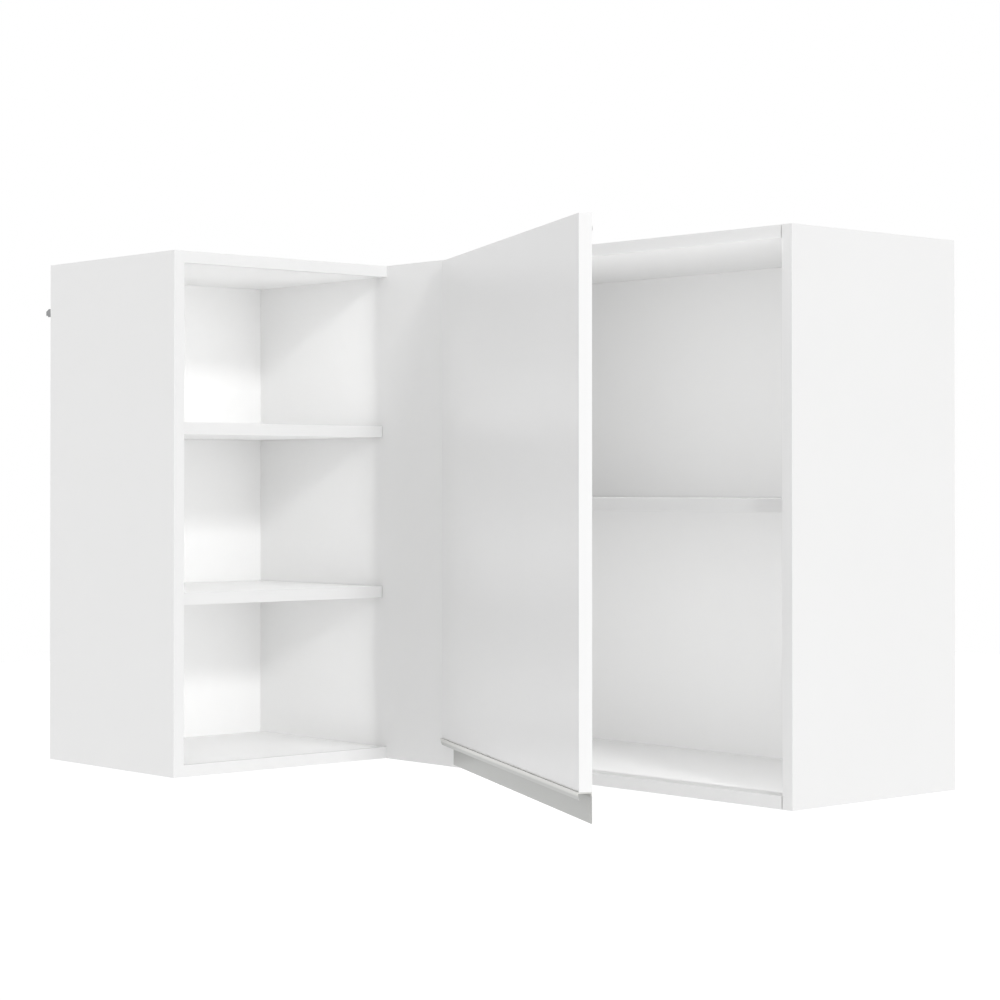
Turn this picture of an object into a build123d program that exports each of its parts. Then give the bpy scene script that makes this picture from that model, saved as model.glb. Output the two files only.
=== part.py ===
from build123d import *
import os

# Corner wall cabinet, millimetres, +Z up. The origin is the bottom of the room corner: the left wall
# is the plane X = 0 and the back wall is the plane Y = 0. The corner module stands along +X with its
# back on the back wall. The open module runs towards -Y with its back on the left wall. The door
# hangs on the corner module. It is built closed and then swung ajar about its hinge pins.

# ---- Overall sizes
cabinet_height = 700.0
cabinet_depth = 310.0  # corner module, back wall to fixed front
open_depth = 310.0  # open module, left wall to its front edges
corner_length = 1076.0  # corner module, along the back wall
open_length = 362.0  # open module, from the fixed front along the left wall
board = 16.0  # faced chipboard
back_board = 4.0  # thin hardboard backs
fixed_front_width = 469.0  # fixed front, from the left wall to the door opening
post_depth = 70.0  # upright behind the free edge of the fixed front
side_joint_gap = 2.0  # shadow gap between the right side and the top and bottom
edge_round = 0.6  # rounding of the outer banded edges

# ---- Backs in their grooves
back_inset = 4.0  # rear edges of the boards to the back's rear face
groove_depth = 5.0
groove_play = 0.1  # each side of a back in its groove
back_end_play = 0.5  # a back's edge to the bottom of its groove

# ---- Shelves
open_shelf_count = 2  # they share the open module's height evenly
open_shelf_setback = 9.0
open_shelf_end_play = 0.8
inner_shelf_z = 355.0  # underside
inner_shelf_setback = 26.0
inner_shelf_end_play = 1.0
shelf_back_play = 1.0
post_notch_play = 2.0
shelf_pin_radius = 2.5
shelf_pin_length = 18.0  # half of it in the upright
shelf_pin_inset = 37.0  # pin to the nearest long edge of its shelf
shelf_rest_play = 0.05  # pin to the shelf that lies on it

# ---- Cam joints and dowels
cam_radius = 7.5
cam_height = 12.5
cam_to_end = 24.0  # cam centre to the end of its board
cam_play = 0.1
cam_slot_width = 2.0
cam_slot_depth = 1.5
cam_inset = 45.0  # outer cams to the edges of their board
dowel_step = 32.0  # cam to the dowel beside it
front_cam_margin = 130.0  # cams behind the fixed front, from the ends of its inner face
bolt_radius = 2.5
bolt_grip = 11.0  # thread in the upright board
bolt_head_radius = 3.2
bolt_head_length = 4.0
bolt_tunnel_radius = 3.75
dowel_radius = 4.0
dowel_length = 30.0
dowel_grip = 9.0  # part of a dowel in the face of a board
post_dowel_margin = 134.0  # outer dowels of the post and the corner side to the top and bottom
peg_play = 0.05  # around dowels, bolts, pins and screws
peg_end_play = 1.0  # past their ends

# ---- Door
door_thickness = 16.0
door_overlap = 17.0  # closed door over the fixed front
door_top_gap = 3.0  # top of the door to the top of the cabinet
door_bottom = 40.0
door_gap = 2.5  # closed door to the fixed front
door_round = 0.8
door_ajar = 26.0  # degrees from closed
bumper_radius = 4.0
bumper_height = 2.3
bumper_margin = 17.0  # bumper centre to the door's top or bottom

# ---- Handle profile under the door
profile_sheet = 1.7
lip_reach = 2.6  # top of the lip to the door's front face
lip_rise = 0.3  # top of the lip above the door's lower edge
lip_drop = 9.0  # tip of the lip below the door's lower edge
lip_bulge = 0.5
plate_bottom = 4.0  # lower edge of the hanging plate
plate_set_in = 8.0  # plate cut back at the hinge side
handle_screw_count = 5
handle_screw_margin = 52.0
handle_screw_length = 20.0

# ---- Countersunk screws
screw_radius = 1.75
screw_head_radius = 3.3
screw_head_height = 1.2
screw_recess_length = 3.4
screw_recess_width = 0.8
screw_recess_depth = 0.9

# ---- Cup hinges, each with one pin
hinge_margin = 100.0  # hinges to the door's top and bottom
cup_radius = 17.5
cup_depth = 12.0
cup_wall = 0.7
cup_edge_margin = 3.0  # door's edge to the cup
cup_play = 0.1
flange_radius = 17.9
flange_height = 1.2
wing_half_length = 30.0
wing_half_width = 6.0
wing_corner_radius = 5.0
cup_screw_spread = 24.0  # cup centre to each of its screws
cup_screw_length = 12.0
cheek_width = 6.5  # cheeks that hold the pin, from the cup's wall
cheek_play = 0.4
hinge_pin_radius = 1.25
hinge_pin_length = 16.8
pin_from_edge = 6.7  # door's edge to the pin
pin_from_back = 9.1  # door's back face to the pin
eye_radius = 1.9
nose_width = 10.0
nose_sheet = 2.5
nose_reach = 18.3  # pin to the far side of the nose's upright
arm_setback = 10.0  # fixed front's face to the arm
arm_length = 48.0
arm_width = 14.0
arm_height = 8.0
arm_wall = 1.4
plate_height = 2.5
plate_length = 34.0
plate_wing_length = 46.0
plate_wing_width = 20.0
rail_play = 0.2
plate_screw_spread = 16.0
plate_screw_length = 14.0
arm_screw_radius = 2.5
arm_screw_length = 8.0
arm_screw_head_radius = 3.6
arm_screw_head_height = 1.8
arm_screw_step = 18.0

# ---- Wall hangers in the upper rear corners
hanger_drop = 40.0  # top of the cabinet to the housing
hanger_height = 60.0
hanger_reach = 42.0
hanger_width = 19.0
hook_sheet = 2.5
hook_side_play = 1.25  # left side of the housing to the hook
hook_drop = 19.4  # top of the housing to the hook
hook_height = 11.5
hook_projection = 40.0  # behind the rear edges of the boards
hook_grip = 28.0  # part of the hook in the housing
hook_play = 0.3
hook_slot_play = 0.6  # around the hook in the back
hook_nose_length = 7.0  # slanted top, from the tip to the notch
hook_nose_drop = 3.5
hook_notch_width = 6.0
hook_notch_depth = 3.5
hook_heel_setback = 4.7  # tip to the step in the underside
hook_heel_step = 2.0
cover_sheet = 1.2
cover_skirt = 5.0
cover_play = 0.15
adjuster_radius = 2.0
adjuster_length = 26.0
adjuster_head_radius = 3.0
adjuster_head_height = 3.0
adjuster_spread = 18.0  # middle of the housing to each adjusting screw
adjuster_inset = 6.0  # adjusting screws to the housing's free side
hanger_screw_spread = 24.0
hanger_screw_inset = 8.0  # fixing screws to the back
hanger_screw_grip = 10.0  # thread in the upright board

# ---- Places that follow from the sizes
front_y = -cabinet_depth
front_back_y = front_y + board
open_end_y = front_y - open_length
open_inner_y = open_end_y + board
inner_top = cabinet_height - board
back_rear_y = -back_inset
back_face_y = back_rear_y - back_board
open_back_x = back_inset + back_board
right_inner_x = corner_length - board
post_left_x = fixed_front_width - board
post_rear_y = front_back_y + post_depth
shelf_front_y = front_y + inner_shelf_setback
shelf_notch_y = post_rear_y + post_notch_play
shelf_back_y = back_face_y - shelf_back_play
open_bay = (cabinet_height - board) / (open_shelf_count + 1)
door_left = fixed_front_width - door_overlap
door_right = corner_length
door_top = cabinet_height - door_top_gap
door_back_y = front_y - door_gap
door_front_y = door_back_y - door_thickness
hinge_low_z = door_bottom + hinge_margin
hinge_high_z = door_top - hinge_margin
pin_x = door_left + pin_from_edge
pin_y = door_back_y - pin_from_back
cup_x = door_left + cup_edge_margin + cup_radius
plate_top_x = fixed_front_width + plate_height
arm_front_y = front_y + arm_setback
arm_middle_y = arm_front_y + arm_length / 2 + (arm_length - plate_length) / 4
hanger_top = cabinet_height - hanger_drop
hanger_middle = hanger_top - hanger_height / 2
hook_top = hanger_top - hook_drop

LEFT, RIGHT = (-1, 0, 0), (1, 0, 0)
FORWARD, BACKWARD = (0, -1, 0), (0, 1, 0)
DOWN, UP = (0, 0, -1), (0, 0, 1)


# ---- Helpers
def block(x0, x1, y0, y1, z0, z1):
    middle = Pos((x0 + x1) / 2, (y0 + y1) / 2, (z0 + z1) / 2)
    return middle * Box(x1 - x0, y1 - y0, z1 - z0)


def rod(start, way, radius, length):
    foot = (Align.CENTER, Align.CENTER, Align.MIN)
    return Plane(origin=start, z_dir=way) * Cylinder(radius, length, align=foot)


def moved(point, way, distance):
    return tuple(p + w * distance for p, w in zip(point, way))


def reverse(way):
    return tuple(-w for w in way)


def cut(solid, cutters):
    """The solid less its cutters."""
    for cutter in cutters:
        solid = solid - cutter
    return solid


def soften(solid, axis, places, radius=edge_round):
    """Rounds the edge along the axis that is nearest to each place."""
    edges = [solid.edges().filter_by(axis).sort_by_distance(place)[0] for place in places]
    return fillet(edges, radius)


def cross_recess(face, way):
    """Cutter for a screw driver's cross in a head."""
    bar = Box(screw_recess_length, screw_recess_width, 2 * screw_recess_depth)
    return Plane(origin=face, z_dir=way) * (bar + Rotation(0, 0, 90) * bar)


def screw_shape(head, way, length, play=0.0, end_play=0.0):
    """Countersunk screw, or with play the hole for one. The head's face is at the point head."""
    foot = (Align.CENTER, Align.CENTER, Align.MIN)
    cone = Cone(screw_head_radius + play, screw_radius + play, screw_head_height, align=foot)
    shank_length = length - screw_head_height + end_play
    shank = rod(moved(head, way, screw_head_height), way, screw_radius + play, shank_length)
    return Plane(origin=head, z_dir=way) * cone + shank


def screw(head, way, length):
    return screw_shape(head, way, length) - cross_recess(head, way)


def screw_hole(head, way, length):
    return screw_shape(head, way, length, peg_play, peg_end_play)


# ---- Joints of the level boards. A joint is the middle of the level board's end, in the upright's
# face, with the way into the level board and the way to the face that the cam is set in.
def deck_levels():
    """Middle heights of the bottom and top boards, with the ways to their outer faces."""
    return [(board / 2, DOWN), (cabinet_height - board / 2, UP)]


def spread(low, high, margin):
    """Cams at a margin from both ends of a joint, and dowels one step further in."""
    cams = [low + margin, high - margin]
    dowels = [low + margin + dowel_step, high - margin - dowel_step]
    return cams, dowels


def joints_along_y(x, low, high, way):
    pairs = spread(low, high, cam_inset)
    return [[((x, y, z), way, out) for z, out in deck_levels() for y in ys] for ys in pairs]


def joints_along_x(y, low, high, way, margin):
    pairs = spread(low, high, margin)
    return [[((x, y, z), way, out) for z, out in deck_levels() for x in xs] for xs in pairs]


right_side_joints = joints_along_y(right_inner_x, front_y, 0, LEFT)
corner_side_joints = joints_along_y(board, front_back_y, 0, RIGHT)
inner_front_joints = joints_along_x(front_back_y, 0, post_left_x, BACKWARD, front_cam_margin)
outer_front_joints = joints_along_x(front_y, 0, open_depth, FORWARD, cam_inset)
open_end_joints = joints_along_x(open_inner_y, 0, open_depth, BACKWARD, cam_inset)
corner_deck_joints = (right_side_joints, corner_side_joints, inner_front_joints)
open_deck_joints = (outer_front_joints, open_end_joints)


def joint_reach(way):
    """Upright's face to the cam centre. Only the right side stands a gap off its boards."""
    return cam_to_end + (side_joint_gap if way == LEFT else 0.0)


def cam_lock(joint):
    """Cam with the tunnel for the bolt's head and a slot for the driver."""
    point, way, out = joint
    face = moved(moved(point, way, joint_reach(way)), out, board / 2)
    body = rod(face, reverse(out), cam_radius, cam_height)
    tunnel = rod(point, way, bolt_tunnel_radius, joint_reach(way) + bolt_tunnel_radius)
    slot = Plane(origin=face, z_dir=out) * Box(3 * cam_radius, cam_slot_width, 2 * cam_slot_depth)
    return body - tunnel - slot


def cam_bolt(joint):
    point, way, out = joint
    thread_end = moved(point, reverse(way), bolt_grip)
    head_start = moved(point, way, joint_reach(way) - bolt_head_length / 2)
    shank = rod(thread_end, way, bolt_radius, bolt_grip + joint_reach(way))
    return shank + rod(head_start, way, bolt_head_radius, bolt_head_length)


def dowel(joint):
    point, way, out = joint
    return rod(moved(point, reverse(way), dowel_grip), way, dowel_radius, dowel_length)


def upright_cuts(joints):
    """Holes in an upright's face for the bolts and the dowels."""
    cams, dowels = joints
    cuts = []
    for point, way, out in cams:
        cuts.append(rod(point, reverse(way), bolt_radius + peg_play, bolt_grip + peg_end_play))
    for point, way, out in dowels:
        cuts.append(rod(point, reverse(way), dowel_radius + peg_play, dowel_grip + peg_end_play))
    return cuts


def deck_cuts(joints, outward):
    """Tunnels, cam seats and dowel holes in the top board (UP) or the bottom board (DOWN)."""
    cams, dowels = ([joint for joint in group if joint[2] == outward] for group in joints)
    cuts = []
    for point, way, out in cams:
        face = moved(moved(point, way, joint_reach(way)), out, board / 2)
        cuts.append(rod(point, way, bolt_tunnel_radius, joint_reach(way)))
        cuts.append(rod(face, reverse(out), cam_radius + cam_play, cam_height + cam_play))
    for point, way, out in dowels:
        depth = dowel_length - dowel_grip + peg_end_play
        cuts.append(rod(point, way, dowel_radius + peg_play, depth))
    return cuts


# ---- Dowels that hold the post and the corner side, written as joints too
def post_joints():
    middle_x = fixed_front_width - board / 2
    middle_y = (front_back_y + post_rear_y) / 2
    heights = (post_dowel_margin, cabinet_height / 2, cabinet_height - post_dowel_margin)
    joints = [((middle_x, front_back_y, z), BACKWARD, UP) for z in heights]
    joints.append(((middle_x, middle_y, board), UP, RIGHT))
    joints.append(((middle_x, middle_y, inner_top), DOWN, RIGHT))
    return joints


def corner_front_joints():
    heights = (post_dowel_margin, cabinet_height - post_dowel_margin)
    return [((board / 2, front_back_y, z), BACKWARD, UP) for z in heights]


def dowel_cuts(joints):
    """Whole dowel holes, both halves in one cutter."""
    cuts = []
    for point, way, out in joints:
        start = moved(point, reverse(way), dowel_grip + peg_end_play)
        cuts.append(rod(start, way, dowel_radius + peg_play, dowel_length + 2 * peg_end_play))
    return cuts


# ---- Shelf pins, each placed by a point in the upright's face and the way out of it
def inner_pin_places():
    z = inner_shelf_z - shelf_rest_play - shelf_pin_radius
    rear_y = shelf_back_y - shelf_pin_inset
    front_pin_y = shelf_front_y + shelf_pin_inset
    notch_pin_y = shelf_notch_y + shelf_pin_inset
    return [
        ((board, notch_pin_y, z), RIGHT),
        ((board, rear_y, z), RIGHT),
        ((fixed_front_width, front_pin_y, z), RIGHT),
        ((right_inner_x, front_pin_y, z), LEFT),
        ((right_inner_x, rear_y, z), LEFT),
    ]


def open_shelf_levels():
    """Heights of the undersides of the open shelves."""
    return [open_bay * (i + 1) for i in range(open_shelf_count)]


def open_pin_places():
    """Hidden pins in the ends of the open shelves."""
    places = []
    rear_x = open_back_x + shelf_back_play + shelf_pin_inset
    front_x = open_depth - open_shelf_setback - shelf_pin_inset
    for z in (level + board / 2 for level in open_shelf_levels()):
        for x in (rear_x, front_x):
            places.append(((x, open_inner_y, z), BACKWARD))
            places.append(((x, front_y, z), FORWARD))
    return places


def shelf_pin(place, play=0.0, end_play=0.0):
    """A pin, or with play the hole for one."""
    face, way = place
    half = shelf_pin_length / 2 + end_play
    return rod(moved(face, reverse(way), half), way, shelf_pin_radius + play, 2 * half)


def pin_cuts(places):
    return [shelf_pin(place, peg_play, peg_end_play) for place in places]


# ---- Hangers. Each corner is the rear end of an upright's inner face, with the way along the wall
# and the way out of the wall.
HANGER_CORNERS = {
    "open": ((0, open_inner_y, 0), BACKWARD, RIGHT),
    "corner": ((board, 0, 0), RIGHT, FORWARD),
    "right": ((right_inner_x, 0, 0), LEFT, FORWARD),
}


def hanger_point(name, along, out, z):
    corner, along_way, out_way = HANGER_CORNERS[name]
    return moved(moved(moved(corner, along_way, along), out_way, out), UP, z)


def hanger_block(name, along, out, z):
    """A block from its ranges along the wall, out of the wall and in height."""
    low = hanger_point(name, along[0], out[0], z[0])
    high = hanger_point(name, along[1], out[1], z[1])
    spans = [sorted(pair) for pair in zip(low, high)]
    return block(*spans[0], *spans[1], *spans[2])


def hanger_screw_heads(name):
    out = open_back_x + hanger_screw_inset
    heights = (hanger_middle - hanger_screw_spread, hanger_middle + hanger_screw_spread)
    return [hanger_point(name, hanger_width, out, z) for z in heights]


def hanger_screws(name, shape=screw):
    """Fixing screws from the housing into the upright, or with screw_hole their holes."""
    into_upright = reverse(HANGER_CORNERS[name][1])
    length = hanger_width + hanger_screw_grip
    return [shape(head, into_upright, length) for head in hanger_screw_heads(name)]


def adjusters(name, play=0.0, end_play=0.0):
    """Adjusting screws in the housing's face, or with play the bores for them."""
    inward = reverse(HANGER_CORNERS[name][2])
    solids = []
    for z in (hanger_middle - adjuster_spread, hanger_middle + adjuster_spread):
        face = hanger_point(name, hanger_width - adjuster_inset, open_back_x + hanger_reach, z)
        head = rod(face, inward, adjuster_head_radius + play, adjuster_head_height + play)
        shank = rod(face, inward, adjuster_radius + play, adjuster_length + end_play)
        solids.append(head + shank if play else head + shank - cross_recess(face, inward))
    return solids


def hook_start(name):
    """Upright to the hook. All hangers are alike, with the hook on their left side."""
    return hanger_width - hook_side_play - hook_sheet if name == "right" else hook_side_play


def hook_space(name, play, out_low, out_high):
    """The hook's cross-section with play around it, over a range out of the wall."""
    along = (hook_start(name) - play, hook_start(name) + hook_sheet + play)
    heights = (hook_top - hook_height - play, hook_top + play)
    return hanger_block(name, along, (out_low, out_high), heights)


def hanger_housing(name):
    outs = (open_back_x, open_back_x + hanger_reach)
    body = hanger_block(name, (0, hanger_width), outs, (hanger_top - hanger_height, hanger_top))
    slot = hook_space(name, hook_play, open_back_x, open_back_x + hook_grip + hook_play)
    bores = adjusters(name, peg_play, peg_end_play)
    return cut(body, [slot, *bores, *hanger_screws(name, screw_hole)])


def hanger_hook(name):
    """Steel plate with a slanted, notched end behind the wall's face."""
    low = hook_top - hook_height
    tip = -hook_projection
    notch = tip + hook_nose_length
    outline = Polyline(
        (open_back_x + hook_grip, low),
        (tip + hook_heel_setback, low),
        (tip + hook_heel_setback, low + hook_heel_step),
        (tip, low + hook_heel_step),
        (tip, hook_top - hook_nose_drop),
        (notch, hook_top),
        (notch + hook_notch_width / 2, hook_top - hook_notch_depth),
        (notch + hook_notch_width, hook_top),
        (open_back_x + hook_grip, hook_top),
        close=True,
    )
    corner, along_way, out_way = HANGER_CORNERS[name]
    origin = moved(corner, along_way, hook_start(name))
    side = Plane(origin=origin, x_dir=out_way, z_dir=Vector(out_way).cross(Vector(UP)))
    same_way = side.z_dir.dot(Vector(along_way)) > 0
    return extrude(side * make_face(outline), hook_sheet if same_way else -hook_sheet)


def hanger_cover(name):
    """Snap-on cap over the housing's face, open towards the upright."""
    face = open_back_x + hanger_reach
    low, high = hanger_top - hanger_height, hanger_top
    wall = cover_play + cover_sheet
    along = (0, hanger_width + wall)
    shell = hanger_block(name, along, (face - cover_skirt, face + wall), (low - wall, high + wall))
    along = (-cover_sheet, hanger_width + cover_play)
    outs = (face - 2 * cover_skirt, face + cover_play)
    return shell - hanger_block(name, along, outs, (low - cover_play, high + cover_play))


# ---- Boards of the corner module
def back_groove():
    """Groove for the corner module's back, all round."""
    return block(
        board - groove_depth, right_inner_x + groove_depth,
        back_face_y - groove_play, back_rear_y + groove_play,
        board - groove_depth, inner_top + groove_depth,
    )


def right_side_panel():
    panel = block(right_inner_x, corner_length, front_y, 0, 0, cabinet_height)
    panel = soften(panel, Axis.Z, [(corner_length, front_y, inner_top)])
    cuts = upright_cuts(right_side_joints) + pin_cuts(inner_pin_places())
    return cut(panel, [back_groove(), *cuts, *hanger_screws("right", screw_hole)])


def corner_side_panel():
    panel = block(0, board, front_back_y, 0, 0, cabinet_height)
    cuts = upright_cuts(corner_side_joints) + pin_cuts(inner_pin_places())
    cuts += dowel_cuts(corner_front_joints())
    return cut(panel, [back_groove(), *cuts, *hanger_screws("corner", screw_hole)])


def deck_heights(outward):
    """Underside, upper face and outer face of the top board (UP) or the bottom board (DOWN)."""
    if outward == UP:
        return inner_top, cabinet_height, cabinet_height
    return 0, board, 0


def corner_deck(outward):
    """Level board of the corner module, stepped back behind the fixed front."""
    low, high, outer = deck_heights(outward)
    right_x = right_inner_x - side_joint_gap
    deck = block(board, right_x, front_y, 0, low, high)
    deck = soften(deck, Axis.X, [(right_x, front_y, outer)])
    step = block(0, fixed_front_width, front_y - board, front_back_y, low - board, high + board)
    cuts = [cutter for joints in corner_deck_joints for cutter in deck_cuts(joints, outward)]
    return cut(deck, [step, back_groove(), *cuts, *dowel_cuts(post_joints())])


def right_back_panel():
    """Thin back with the slots for both hooks."""
    edge = groove_depth - back_end_play
    panel = block(
        board - edge, right_inner_x + edge,
        back_face_y, back_rear_y,
        board - edge, inner_top + edge,
    )
    return cut(panel, [hook_space(name, hook_slot_play, 0, board) for name in ("corner", "right")])


def hinge_post():
    """Upright behind the free edge of the fixed front, which carries the hinges."""
    post = block(post_left_x, fixed_front_width, front_back_y, post_rear_y, board, inner_top)
    cuts = dowel_cuts(post_joints()) + pin_cuts(inner_pin_places())
    for z in (hinge_low_z, hinge_high_z):
        cuts += [screw_hole(head, LEFT, plate_screw_length) for head in plate_screw_heads(z)]
    return cut(post, cuts)


def inner_shelf():
    """Loose shelf, notched round the post."""
    shelf = block(
        board + inner_shelf_end_play, right_inner_x - inner_shelf_end_play,
        shelf_front_y, shelf_back_y,
        inner_shelf_z, inner_shelf_z + board,
    )
    notch = block(
        0, fixed_front_width + post_notch_play,
        front_y, shelf_notch_y,
        inner_shelf_z - board, inner_shelf_z + 2 * board,
    )
    return shelf - notch


# ---- The fixed front and the boards of the open module
def open_back_groove():
    """Groove for the open module's back, all round."""
    return block(
        back_inset - groove_play, open_back_x + groove_play,
        open_inner_y - groove_depth, front_y + groove_depth,
        board - groove_depth, inner_top + groove_depth,
    )


def fixed_front_panel():
    """Front of the blind corner, which is also the inner side of the open module."""
    panel = block(0, fixed_front_width, front_y, front_back_y, 0, cabinet_height)
    panel = soften(panel, Axis.Z, [(fixed_front_width, front_y, inner_top)])
    cuts = upright_cuts(inner_front_joints) + upright_cuts(outer_front_joints)
    cuts += pin_cuts(open_pin_places())
    cuts += dowel_cuts(corner_front_joints()) + dowel_cuts(post_joints())
    return cut(panel, [open_back_groove(), *cuts])


def open_end_panel():
    panel = block(0, open_depth, open_end_y, open_inner_y, 0, cabinet_height)
    panel = soften(panel, Axis.Z, [(open_depth, open_end_y, inner_top)])
    cuts = upright_cuts(open_end_joints) + pin_cuts(open_pin_places())
    return cut(panel, [open_back_groove(), *cuts, *hanger_screws("open", screw_hole)])


def open_deck(outward):
    low, high, outer = deck_heights(outward)
    deck = block(0, open_depth, open_inner_y, front_y, low, high)
    deck = soften(deck, Axis.Y, [(open_depth, front_y, outer)])
    cuts = [cutter for joints in open_deck_joints for cutter in deck_cuts(joints, outward)]
    return cut(deck, [open_back_groove(), *cuts])


def open_back_panel():
    """Thin back with the slot for its hook."""
    edge = groove_depth - back_end_play
    panel = block(
        back_inset, open_back_x,
        open_inner_y - edge, front_y + edge,
        board - edge, inner_top + edge,
    )
    return panel - hook_space("open", hook_slot_play, 0, board)


def open_shelf(z0):
    shelf = block(
        open_back_x + shelf_back_play, open_depth - open_shelf_setback,
        open_inner_y + open_shelf_end_play, front_y - open_shelf_end_play,
        z0, z0 + board,
    )
    return cut(shelf, pin_cuts(open_pin_places()))


# ---- Hinges, at the height z
def wing_screw_heads(z):
    y = door_back_y + flange_height
    return [(cup_x, y, z - cup_screw_spread), (cup_x, y, z + cup_screw_spread)]


def plate_screw_heads(z):
    return [(plate_top_x, arm_middle_y, z + side * plate_screw_spread) for side in (-1, 1)]


def arm_screw_seats(z):
    """Points on the arm's outer face under the heads of its two screws."""
    x = plate_top_x + arm_height
    return [(x, arm_middle_y + side * arm_screw_step / 2, z) for side in (-1, 1)]


def pin_rod(z, play=0.0):
    """The hinge pin, or with play the bore for it."""
    half = hinge_pin_length / 2 + play
    return rod((pin_x, pin_y, z - half), UP, hinge_pin_radius + play, 2 * half)


def cup_cheeks(z):
    """Cheeks inside the cup, above and below the arm's eye."""
    start = nose_width / 2 + cheek_play
    left_x = cup_x - cup_radius
    floor_y = door_back_y - cup_depth
    return [
        block(left_x, left_x + cheek_width, floor_y, door_back_y, z + start, z + cup_radius),
        block(left_x, left_x + cheek_width, floor_y, door_back_y, z - cup_radius, z - start),
    ]


def hinge_cup(z):
    mouth = (cup_x, door_back_y, z)
    wings = block(
        cup_x - wing_half_width, cup_x + wing_half_width,
        door_back_y, door_back_y + flange_height,
        z - wing_half_length, z + wing_half_length,
    )
    wings = fillet(wings.edges().filter_by(Axis.Y), wing_corner_radius)
    body = rod(mouth, FORWARD, cup_radius, cup_depth)
    body = body + rod(mouth, BACKWARD, flange_radius, flange_height) + wings
    floor = moved(mouth, FORWARD, cup_depth - cup_wall)
    space = rod(floor, BACKWARD, cup_radius - cup_wall, cup_depth - cup_wall + flange_height)
    space = cut(space, cup_cheeks(z))
    screws = [screw_hole(head, FORWARD, cup_screw_length) for head in wing_screw_heads(z)]
    return cut(body, [space, pin_rod(z, peg_play), *screws])


def hinge_arm(z):
    """Channel over the mounting plate, with the bent nose that carries the eye."""
    low, high = z - nose_width / 2, z + nose_width / 2
    under_y = pin_y - eye_radius
    nose_x = pin_x + nose_reach
    eye = rod((pin_x, pin_y, low), UP, eye_radius, nose_width)
    foot = block(pin_x, nose_x, under_y, under_y + nose_sheet, low, high)
    upright = block(nose_x - nose_sheet, nose_x, under_y, arm_front_y, low, high)
    low, high = z - arm_width / 2, z + arm_width / 2
    outer_x = plate_top_x + arm_height
    rear_y = arm_front_y + arm_length
    channel = block(plate_top_x, outer_x, arm_front_y, rear_y, low, high)
    space = block(
        plate_top_x, outer_x - arm_wall,
        arm_front_y + arm_wall, rear_y,
        low + arm_wall, high - arm_wall,
    )
    bore = rod((pin_x, pin_y, low), UP, hinge_pin_radius + peg_play, arm_width)
    holes = [rod(seat, LEFT, arm_screw_radius + peg_play, arm_height) for seat in arm_screw_seats(z)]
    return cut(eye + foot + upright + channel, [space, bore, *holes])


def hinge_plate(z):
    """Mounting plate with the rail that the arm sits on."""
    half_rail = arm_width / 2 - arm_wall - rail_play
    rear_y = arm_middle_y + plate_length / 2
    rail_x = plate_top_x + arm_height - arm_wall
    rail = block(
        fixed_front_width, rail_x, rear_y - plate_length, rear_y, z - half_rail, z + half_rail
    )
    wings = block(
        fixed_front_width, plate_top_x,
        arm_middle_y - plate_wing_width / 2, arm_middle_y + plate_wing_width / 2,
        z - plate_wing_length / 2, z + plate_wing_length / 2,
    )
    wings = fillet(wings.edges().filter_by(Axis.X), arm_wall)
    cuts = [screw_hole(head, LEFT, plate_screw_length) for head in plate_screw_heads(z)]
    for seat in arm_screw_seats(z):
        cuts.append(rod(seat, LEFT, arm_screw_radius + peg_play, arm_screw_length + rail_play))
    return cut(rail + wings, cuts)


def arm_screw(seat):
    head = rod(seat, RIGHT, arm_screw_head_radius, arm_screw_head_height)
    shank = rod(seat, LEFT, arm_screw_radius, arm_screw_length)
    return head + shank - cross_recess(moved(seat, RIGHT, arm_screw_head_height), RIGHT)


# ---- Door
def handle_screw_heads():
    step = (door_right - door_left - 2 * handle_screw_margin) / (handle_screw_count - 1)
    first = door_left + handle_screw_margin
    y = (door_front_y + door_back_y) / 2
    z = door_bottom - profile_sheet
    return [(first + i * step, y, z) for i in range(handle_screw_count)]


def handle_screw_cuts():
    return [screw_hole(head, UP, handle_screw_length) for head in handle_screw_heads()]


def door_panel():
    panel = block(door_left, door_right, door_front_y, door_back_y, door_bottom, door_top)
    panel = fillet(panel.faces().sort_by(Axis.Y)[0].edges(), door_round)
    cuts = handle_screw_cuts()
    for z in (hinge_low_z, hinge_high_z):
        mouth = (cup_x, door_back_y, z)
        cuts.append(rod(mouth, FORWARD, cup_radius + cup_play, cup_depth + cup_play))
        cuts += [screw_hole(head, FORWARD, cup_screw_length) for head in wing_screw_heads(z)]
    return cut(panel, cuts)


def handle_section():
    """Profile's outline in the YZ plane: slanted lip, web under the door and hanging plate."""
    web_under = door_bottom - profile_sheet
    plate_front = door_back_y - profile_sheet
    lip_front = door_front_y - lip_reach
    lip_back = lip_front + profile_sheet
    tip_z = door_bottom - lip_drop
    lip_middle_z = (door_bottom + lip_rise + tip_z) / 2
    lip_middle_y = (lip_front + door_front_y) / 2 - lip_bulge
    outline = ThreePointArc(
        (lip_front, door_bottom + lip_rise), (lip_middle_y, lip_middle_z), (door_front_y, tip_z)
    )
    outline += Line((door_front_y, tip_z), (door_front_y + profile_sheet, tip_z))
    outline += ThreePointArc(
        (door_front_y + profile_sheet, tip_z),
        (lip_middle_y + profile_sheet, (web_under + tip_z) / 2),
        (lip_back, web_under),
    )
    outline += Polyline(
        (lip_back, web_under),
        (plate_front, web_under),
        (plate_front, plate_bottom),
        (door_back_y, plate_bottom),
        (door_back_y, door_bottom),
        (lip_back, door_bottom),
        (lip_back, door_bottom + lip_rise),
        (lip_front, door_bottom + lip_rise),
    )
    return make_face(outline)


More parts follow.
